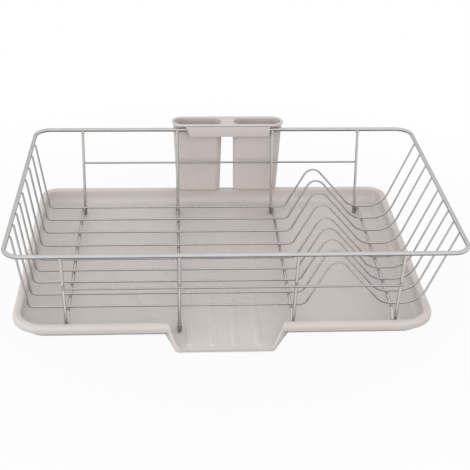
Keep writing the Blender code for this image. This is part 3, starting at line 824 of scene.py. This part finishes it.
def spout_block(sizes):
    """The spout's outer shape, from under the floor to the end."""
    brow = brow_depth(sizes)
    bend = brow + sizes.floor_round
    under = sizes.floor - sizes.sheet
    sliver = sizes.sheet * SLIVER
    rows = (
        (TRAY_LOW.y, under - sizes.fall, sizes.floor + sizes.end_wall),
        (brow - sliver * 2, under, sizes.floor + sizes.crest - sliver),
        (brow - sliver, under, sizes.floor + sliver),
        (bend, under + sliver, sizes.floor - sliver),
    )
    plan = [(side, 0.0, TRAY_LOW.y, sizes.end_corner) for side in (-1, 1)]
    plan += [(side, 0.0, bend, 0.0) for side in (1, -1)]
    shape = spout_solid(sizes, plan, rows)
    outer = [edge for edge in edges_under(shape, brow - sliver, axis=1) if is_border(edge)]
    rounded(shape, outer, sizes.spout_edge, EDGE_STEPS)
    return shape


def is_border(edge):
    """Whether the edge lies between a level face and a steep one."""
    steep = [abs(face.normal.z) < LEVEL for face in edge.link_faces]
    return len(steep) == 2 and steep[0] != steep[1]


def spout_channel(sizes):
    """The space inside the spout, which is cut through the lip."""
    bend = brow_depth(sizes) + sizes.floor_round
    back = bend + sizes.lip
    high = sizes.floor + sizes.crest + sizes.sheet
    over = sizes.floor - SKIM
    front = TRAY_LOW.y - sizes.sheet
    turn = TRAY_LOW.y + sizes.spout_wall
    rows = ((front, over, high), (bend, over, high), (back, over + sizes.sheet * SLIVER, high))
    right = [
        (1, sizes.end_corner, front, 0.0),
        (1, sizes.end_corner, turn, 0.0),
        (1, sizes.spout_wall, turn, sizes.end_corner - sizes.spout_wall),
        (1, sizes.spout_wall, back, 0.0),
    ]
    left = [(-1, *place[1:]) for place in right]
    shape = spout_solid(sizes, left[:1] + right + left[:0:-1], rows)
    along = [edge for edge in edges_under(shape, high / 2) if is_border(edge) and runs_along(edge)]
    rounded(shape, along, sizes.channel_round, WIDE_STEPS)
    return shape


def runs_along(edge):
    """Whether the edge runs mainly from front to back."""
    way = edge.verts[1].co - edge.verts[0].co
    return abs(way.y) > abs(way.x)


def squashed(face, level, share):
    """Squashes a face's corners down towards a level."""
    for corner in face.verts:
        corner.co.z = level + (corner.co.z - level) * share


def floor_rib(sizes, number):
    """A soft low rib that runs along the floor into the spout and fades into it at both ends.

    It is the upper half of an oval bar that lies in the floor, so that the floor cuts it at half its height.
    """
    across = TRAY_MIDDLE - sizes.rib_shift + sizes.rib_pitch * (number - (sizes.ribs - 1) / 2)
    place = Vector((across, TRAY_LOW.y + sizes.rib_gap, sizes.floor - SKIM - sizes.rib_height))
    lay = Matrix.Translation(place) @ Matrix.Rotation(math.radians(90), 4, "X")
    oval = Matrix.Diagonal((sizes.rib_width / math.sqrt(3), sizes.rib_height * 2, 1.0, 1.0))
    shape = bmesh.new()
    bmesh.ops.create_circle(shape, cap_ends=True, radius=1.0, segments=OVAL_ROUND, matrix=lay @ oval)
    cut_along(shape, place, (0, 0, 1), clear_inner=True)
    face = shape.faces[:][0]
    squashed(face, place.z, RIB_SUNK)
    face = raised(shape, face, (0.0, sizes.rib_ramp, 0.0))
    squashed(face, place.z, 1 / RIB_SUNK)
    face = raised(shape, face, (0.0, sizes.rib_length, 0.0), keep=False)
    squashed(raised(shape, face, (0.0, sizes.rib_fade, 0.0), keep=False), place.z, RIB_SUNK)
    outwards(shape)
    return shape


def foot_bar(sizes, front):
    """A bar under the floor."""
    high = sizes.floor - sizes.sheet / 2
    seat = Matrix.Translation((TRAY_MIDDLE, front + sizes.bar_width / 2, high / 2))
    size = Matrix.Diagonal((sizes.bar_length, sizes.bar_width, high, 1.0))
    shape = bmesh.new()
    bmesh.ops.create_cube(shape, size=1.0, matrix=seat @ size)
    upright = [edge for edge in shape.edges if abs(edge.verts[0].co.z - edge.verts[1].co.z) > high / 2]
    rounded(shape, upright, sizes.bar_width / 3, SMALL_STEPS)
    rounded(shape, edges_under(shape, high / 2), high / 6, SMALL_STEPS // 2)
    return shape


class DRAINER_OT_tray(bpy.types.Operator):
    """Moulds the drip tray with its lip, spout, ribs and foot bars"""

    bl_idname = "drainer.tray"
    bl_label = "Drip tray"

    def execute(self, context):
        sizes = context.scene.drainer_tray
        tray = tray_shell(sizes)
        join_shapes(tray, "UNION", [spout_block(sizes)])
        join_shapes(tray, "DIFFERENCE", [spout_channel(sizes)])
        edge = sizes.lip + sizes.floor_round + sizes.bar_inset
        bars = [TRAY_LOW.y + sizes.reach + edge, TRAY_HIGH.y - edge - sizes.bar_width]
        additions = [floor_rib(sizes, number) for number in range(sizes.ribs)]
        join_shapes(tray, "UNION", additions + [foot_bar(sizes, front) for front in bars])
        smooth(tray, CRISP_TRAY)
        finished(tray, "tray", "moulded_plastic", ["drain_tray"])
        return {"FINISHED"}


def cup_ring(sizes, side, inset, height):
    """Left, right, front and back of a cup at a height; a cup narrows downwards."""
    half = (HOLDER_HIGH.x - HOLDER_LOW.x) / 2
    flange_low = HOLDER_HIGH.z - sizes.flange
    drop = (flange_low - height) / (flange_low - HOLDER_LOW.z)
    near = sizes.gap / 2 + sizes.inner_draft * drop + inset
    far = half - sizes.overhang - sizes.outer_draft * drop - inset
    left, right = sorted((HOLDER_MIDDLE + side * near, HOLDER_MIDDLE + side * far))
    front = RIM_BACK + sizes.front
    lean = sizes.depth_draft * drop + inset
    return left, right, front + lean, front + sizes.depth - lean


def cup_corners(side, ends, gap, room):
    """Radii of a cup's corners round from the front left over the front right, made to fit the room."""
    ends, gap = ([radius * min(1.0, room / sum(pair)) for radius in pair] for pair in (ends, gap))
    return (gap[0], ends[0], ends[1], gap[1]) if side > 0 else (ends[0], gap[0], gap[1], ends[1])


def cup_solid(sizes, side, inset, top):
    """A cup as a solid: an outline that narrows downwards, with a rounded bottom."""
    bottom = HOLDER_LOW.z + inset
    low, high = (cup_ring(sizes, side, inset, height) for height in (bottom, top))
    ends = [sizes.end_radius - inset] * 2
    gap = [sizes.front_radius - inset, sizes.back_radius - inset]
    shape = bmesh.new()
    face = outline(shape, *low, bottom, cup_corners(side, ends, gap, (low[3] - low[2]) * ALMOST))
    fit_ring(raised(shape, face, (0.0, 0.0, top - bottom)), low, high)
    outwards(shape)
    rounded(shape, edges_under(shape, bottom + SKIM), max(sizes.bottom - inset, sizes.bottom / 2), WIDE_STEPS)
    return shape


def mouth_solid(sizes, side):
    """The space over a mouth, with the round of its upper edge; it is wider than the cup at the front."""
    inset = sizes.wall - sizes.mouth
    left, right, front, back = cup_ring(sizes, side, inset, HOLDER_HIGH.z)
    front -= sizes.mouth_reach
    ends = [sizes.end_radius - inset + sizes.mouth_reach, sizes.end_radius - inset]
    gap = [sizes.front_radius / 2, sizes.back_radius - inset]
    shape = bmesh.new()
    radii = cup_corners(side, ends, gap, (back - front) * ALMOST)
    face = outline(shape, left, right, front, back, HOLDER_HIGH.z + sizes.wall, radii)
    lower = raised(shape, face, (0.0, 0.0, -sizes.wall))
    stepped_in(shape, lower, quarter(sizes.mouth, 90, 180) + [(SKIM, -SKIM)])
    outwards(shape)
    return shape


def fit_ring(face, before, after):
    """Stretches a face's corners from one left, right, front and back to another."""
    for corner in face.verts:
        share_x = (corner.co.x - before[0]) / (before[1] - before[0])
        share_y = (corner.co.y - before[2]) / (before[3] - before[2])
        corner.co.x = after[0] + (after[1] - after[0]) * share_x
        corner.co.y = after[2] + (after[3] - after[2]) * share_y


def flange_solid(sizes):
    """The flange round both mouths, with a soft upper edge."""
    shape = bmesh.new()
    low = HOLDER_HIGH.z - sizes.flange
    back = HOLDER_HIGH.y
    front = HOLDER_LOW.y + sizes.set_back
    radius = (back - front) / 2 * ALMOST
    face = outline(shape, HOLDER_LOW.x, HOLDER_HIGH.x, front, back, low, [radius] * 4)
    upper = raised(shape, face, (0.0, 0.0, sizes.flange))
    outwards(shape)
    rounded(shape, list(upper.edges), sizes.edge, EDGE_STEPS)
    return shape


def hook_solid(sizes):
    """The strip in front of the rim and the plate over it, with soft edges and a slanted left end."""
    high = HOLDER_HIGH.z - sizes.strip_drop
    low = high - sizes.strip_height
    strip_front = HOLDER_LOW.y
    strip_back = strip_front + sizes.strip
    inside = RIM_BACK + sizes.front + sizes.wall / 2
    plate_low = HOLDER_HIGH.z - sizes.flange - sizes.plate
    left = HOLDER_MIDDLE - sizes.strip_length / 2
    depths = (strip_front, strip_back, strip_back, inside, inside, strip_front)
    heights = (low, low, plate_low, plate_low, high, high)
    shape = bmesh.new()
    face = shape.faces.new([shape.verts.new((left, *place)) for place in zip(depths, heights)])
    raised(shape, face, (sizes.strip_length, 0.0, 0.0))
    for corner in face.verts:
        corner.co.x += sizes.strip_slant * (high - corner.co.z) / sizes.strip_height
    outwards(shape)
    soft = edges_under(shape, strip_front + TOUCH, axis=1) + edges_under(shape, plate_low)
    rounded(shape, list(dict.fromkeys(soft)), sizes.strip_round, SMALL_STEPS)
    return shape


class DRAINER_OT_holder(bpy.types.Operator):
    """Moulds the cutlery holder: two cups, the flange round them and the hook over the rim"""

    bl_idname = "drainer.holder"
    bl_label = "Cutlery holder"

    def execute(self, context):
        sizes = context.scene.drainer_holder
        inside = HOLDER_HIGH.z - sizes.flange / 2
        over = HOLDER_HIGH.z + sizes.wall
        holder = add("holder", mesh_of("holder", flange_solid(sizes)))
        additions = [hook_solid(sizes)] + [cup_solid(sizes, side, 0.0, inside) for side in (-1, 1)]
        join_shapes(holder, "UNION", additions)
        spaces = [cup_solid(sizes, side, sizes.wall, over) for side in (-1, 1)]
        join_shapes(holder, "DIFFERENCE", spaces + [mouth_solid(sizes, side) for side in (-1, 1)])
        smooth(holder, CRISP_HOLDER)
        finished(holder, "holder", "moulded_plastic", ["utensil_holder"])
        return {"FINISHED"}


def stage_floor(studio):
    """A wide floor that reads as white and keeps the object's shadow."""
    shape = bmesh.new()
    bmesh.ops.create_grid(shape, x_segments=2, y_segments=2, size=FLOOR_SIZE)
    floor = add("floor", mesh_of("floor", shape))
    material, tree, shader = new_material("white_floor")
    shader.inputs["Base Color"].default_value = (*studio.floor, 1.0)
    shader.inputs["Roughness"].default_value = FLOOR_ROUGHNESS
    share = shader_node(tree, "Math", {0: seen_rays(tree), 1: away(tree, studio)}, operation="MULTIPLY")
    glow = shader_node(tree, "Emission")
    blended(tree, share["Value"], shader.outputs["BSDF"], glow["Emission"], "Material Output")
    floor.data.materials.append(material)


def blended(tree, share, first, second, output):
    """Two shaders mixed into a tree's output."""
    blend = shader_node(tree, "MixShader", enumerate((share, first, second)))
    tree.links.new(blend["Shader"], tree.nodes[output].inputs["Surface"])


def away(tree, studio):
    """The floor's share of white, which grows away from the object."""
    place = shader_node(tree, "TexCoord")["Object"]
    distance = shader_node(tree, "VectorMath", {0: place}, operation="LENGTH")["Value"]
    spread = {"From Min": GLOW_START, "From Max": GLOW_END, "To Min": studio.glow_near, "To Max": studio.glow_far}
    return shader_node(tree, "MapRange", {"Value": distance, **spread})["Result"]


def seen_rays(tree):
    """1 for the rays that show the background: camera, glossy and transmission."""
    path = shader_node(tree, "LightPath")
    seen = path["Is Camera Ray"]
    for label in ("Is Glossy Ray", "Is Transmission Ray"):
        seen = shader_node(tree, "Math", {0: seen, 1: path[label]}, operation="MAXIMUM")["Value"]
    return seen


def stage_world(studio):
    """Soft light from all round, with white behind the object."""
    world = bpy.data.worlds.new("studio")
    bpy.context.scene.world = world
    world.use_nodes = True
    tree = world.node_tree
    ambient = tree.nodes["Background"]
    ambient.inputs["Strength"].default_value = studio.ambient
    ambient.inputs["Color"].default_value = WHITE
    white = shader_node(tree, "Background", {"Color": WHITE})
    blended(tree, seen_rays(tree), ambient.outputs["Background"], white["Background"], "World Output")


def soft_box(name, place, size, power):
    """A square lamp that looks at the object, as an object."""
    lamp = bpy.data.lights.new(name, "AREA")
    lamp.shape = "SQUARE"
    lamp.size = size
    lamp.energy = power
    box = add(name, lamp)
    box.location = place
    box.rotation_euler = (-Vector(place)).to_track_quat("-Z", "Y").to_euler()
    return box


def stage_camera(studio):
    """The camera where the photograph was taken from."""
    flat = math.cos(studio.pitch)
    ahead = Vector((math.sin(studio.yaw) * flat, math.cos(studio.yaw) * flat, -math.sin(studio.pitch)))
    level = Vector((math.cos(studio.yaw), -math.sin(studio.yaw), 0.0))
    above = level.cross(ahead)
    right = level * math.cos(studio.roll) + above * math.sin(studio.roll)
    up = above * math.cos(studio.roll) - level * math.sin(studio.roll)
    data = bpy.data.cameras.new("camera")
    data.sensor_width = SENSOR
    data.lens = studio.lens
    camera = add("camera", data)
    turn = Matrix((right, up, -ahead)).transposed().to_4x4()
    camera.matrix_world = Matrix.Translation(ORIGIN + Vector(studio.place)) @ turn
    bpy.context.scene.camera = camera


class DRAINER_OT_stage(bpy.types.Operator):
    """Sets the floor, the soft light and the camera"""

    bl_idname = "drainer.stage"
    bl_label = "Stage"

    def execute(self, context):
        studio = context.scene.drainer_studio
        context.scene.view_settings.view_transform = "Standard"
        stage_floor(studio)
        stage_world(studio)
        for label, (place, size, seen) in LAMPS.items():
            soft_box(f"{label}_box", place, size, getattr(studio, label)).visible_glossy = seen
        stage_camera(studio)
        return {"FINISHED"}


GROUPS = (
    ("drainer_wires", WireSizes),
    ("drainer_tray", TraySizes),
    ("drainer_holder", HolderSizes),
    ("drainer_finishes", Finishes),
    ("drainer_studio", Studio),
)
OPERATORS = (
    DRAINER_OT_rim,
    DRAINER_OT_long_wires,
    DRAINER_OT_cross_wires,
    DRAINER_OT_rails,
    DRAINER_OT_welds,
    DRAINER_OT_foot_caps,
    DRAINER_OT_tray,
    DRAINER_OT_holder,
    DRAINER_OT_stage,
)


class DRAINER_PT_panel(bpy.types.Panel):
    """Lists the pieces of the drainer"""

    bl_idname = "DRAINER_PT_panel"
    bl_label = "Dish drainer"
    bl_space_type = "VIEW_3D"
    bl_region_type = "UI"
    bl_category = "Drainer"

    def draw(self, context):
        for operator in OPERATORS:
            self.layout.operator(operator.bl_idname)


def register():
    for name, group in GROUPS:
        bpy.utils.register_class(group)
        setattr(bpy.types.Scene, name, PointerProperty(type=group))
    for operator in OPERATORS:
        bpy.utils.register_class(operator)
    bpy.utils.register_class(DRAINER_PT_panel)


def unregister():
    bpy.utils.unregister_class(DRAINER_PT_panel)
    for operator in reversed(OPERATORS):
        bpy.utils.unregister_class(operator)
    for name, group in reversed(GROUPS):
        delattr(bpy.types.Scene, name)
        bpy.utils.unregister_class(group)


def main():
    """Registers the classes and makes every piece."""
    register()
    for operator in OPERATORS:
        group, name = operator.bl_idname.split(".")
        getattr(getattr(bpy.ops, group), name)()


if __name__ == "__main__":
    main()
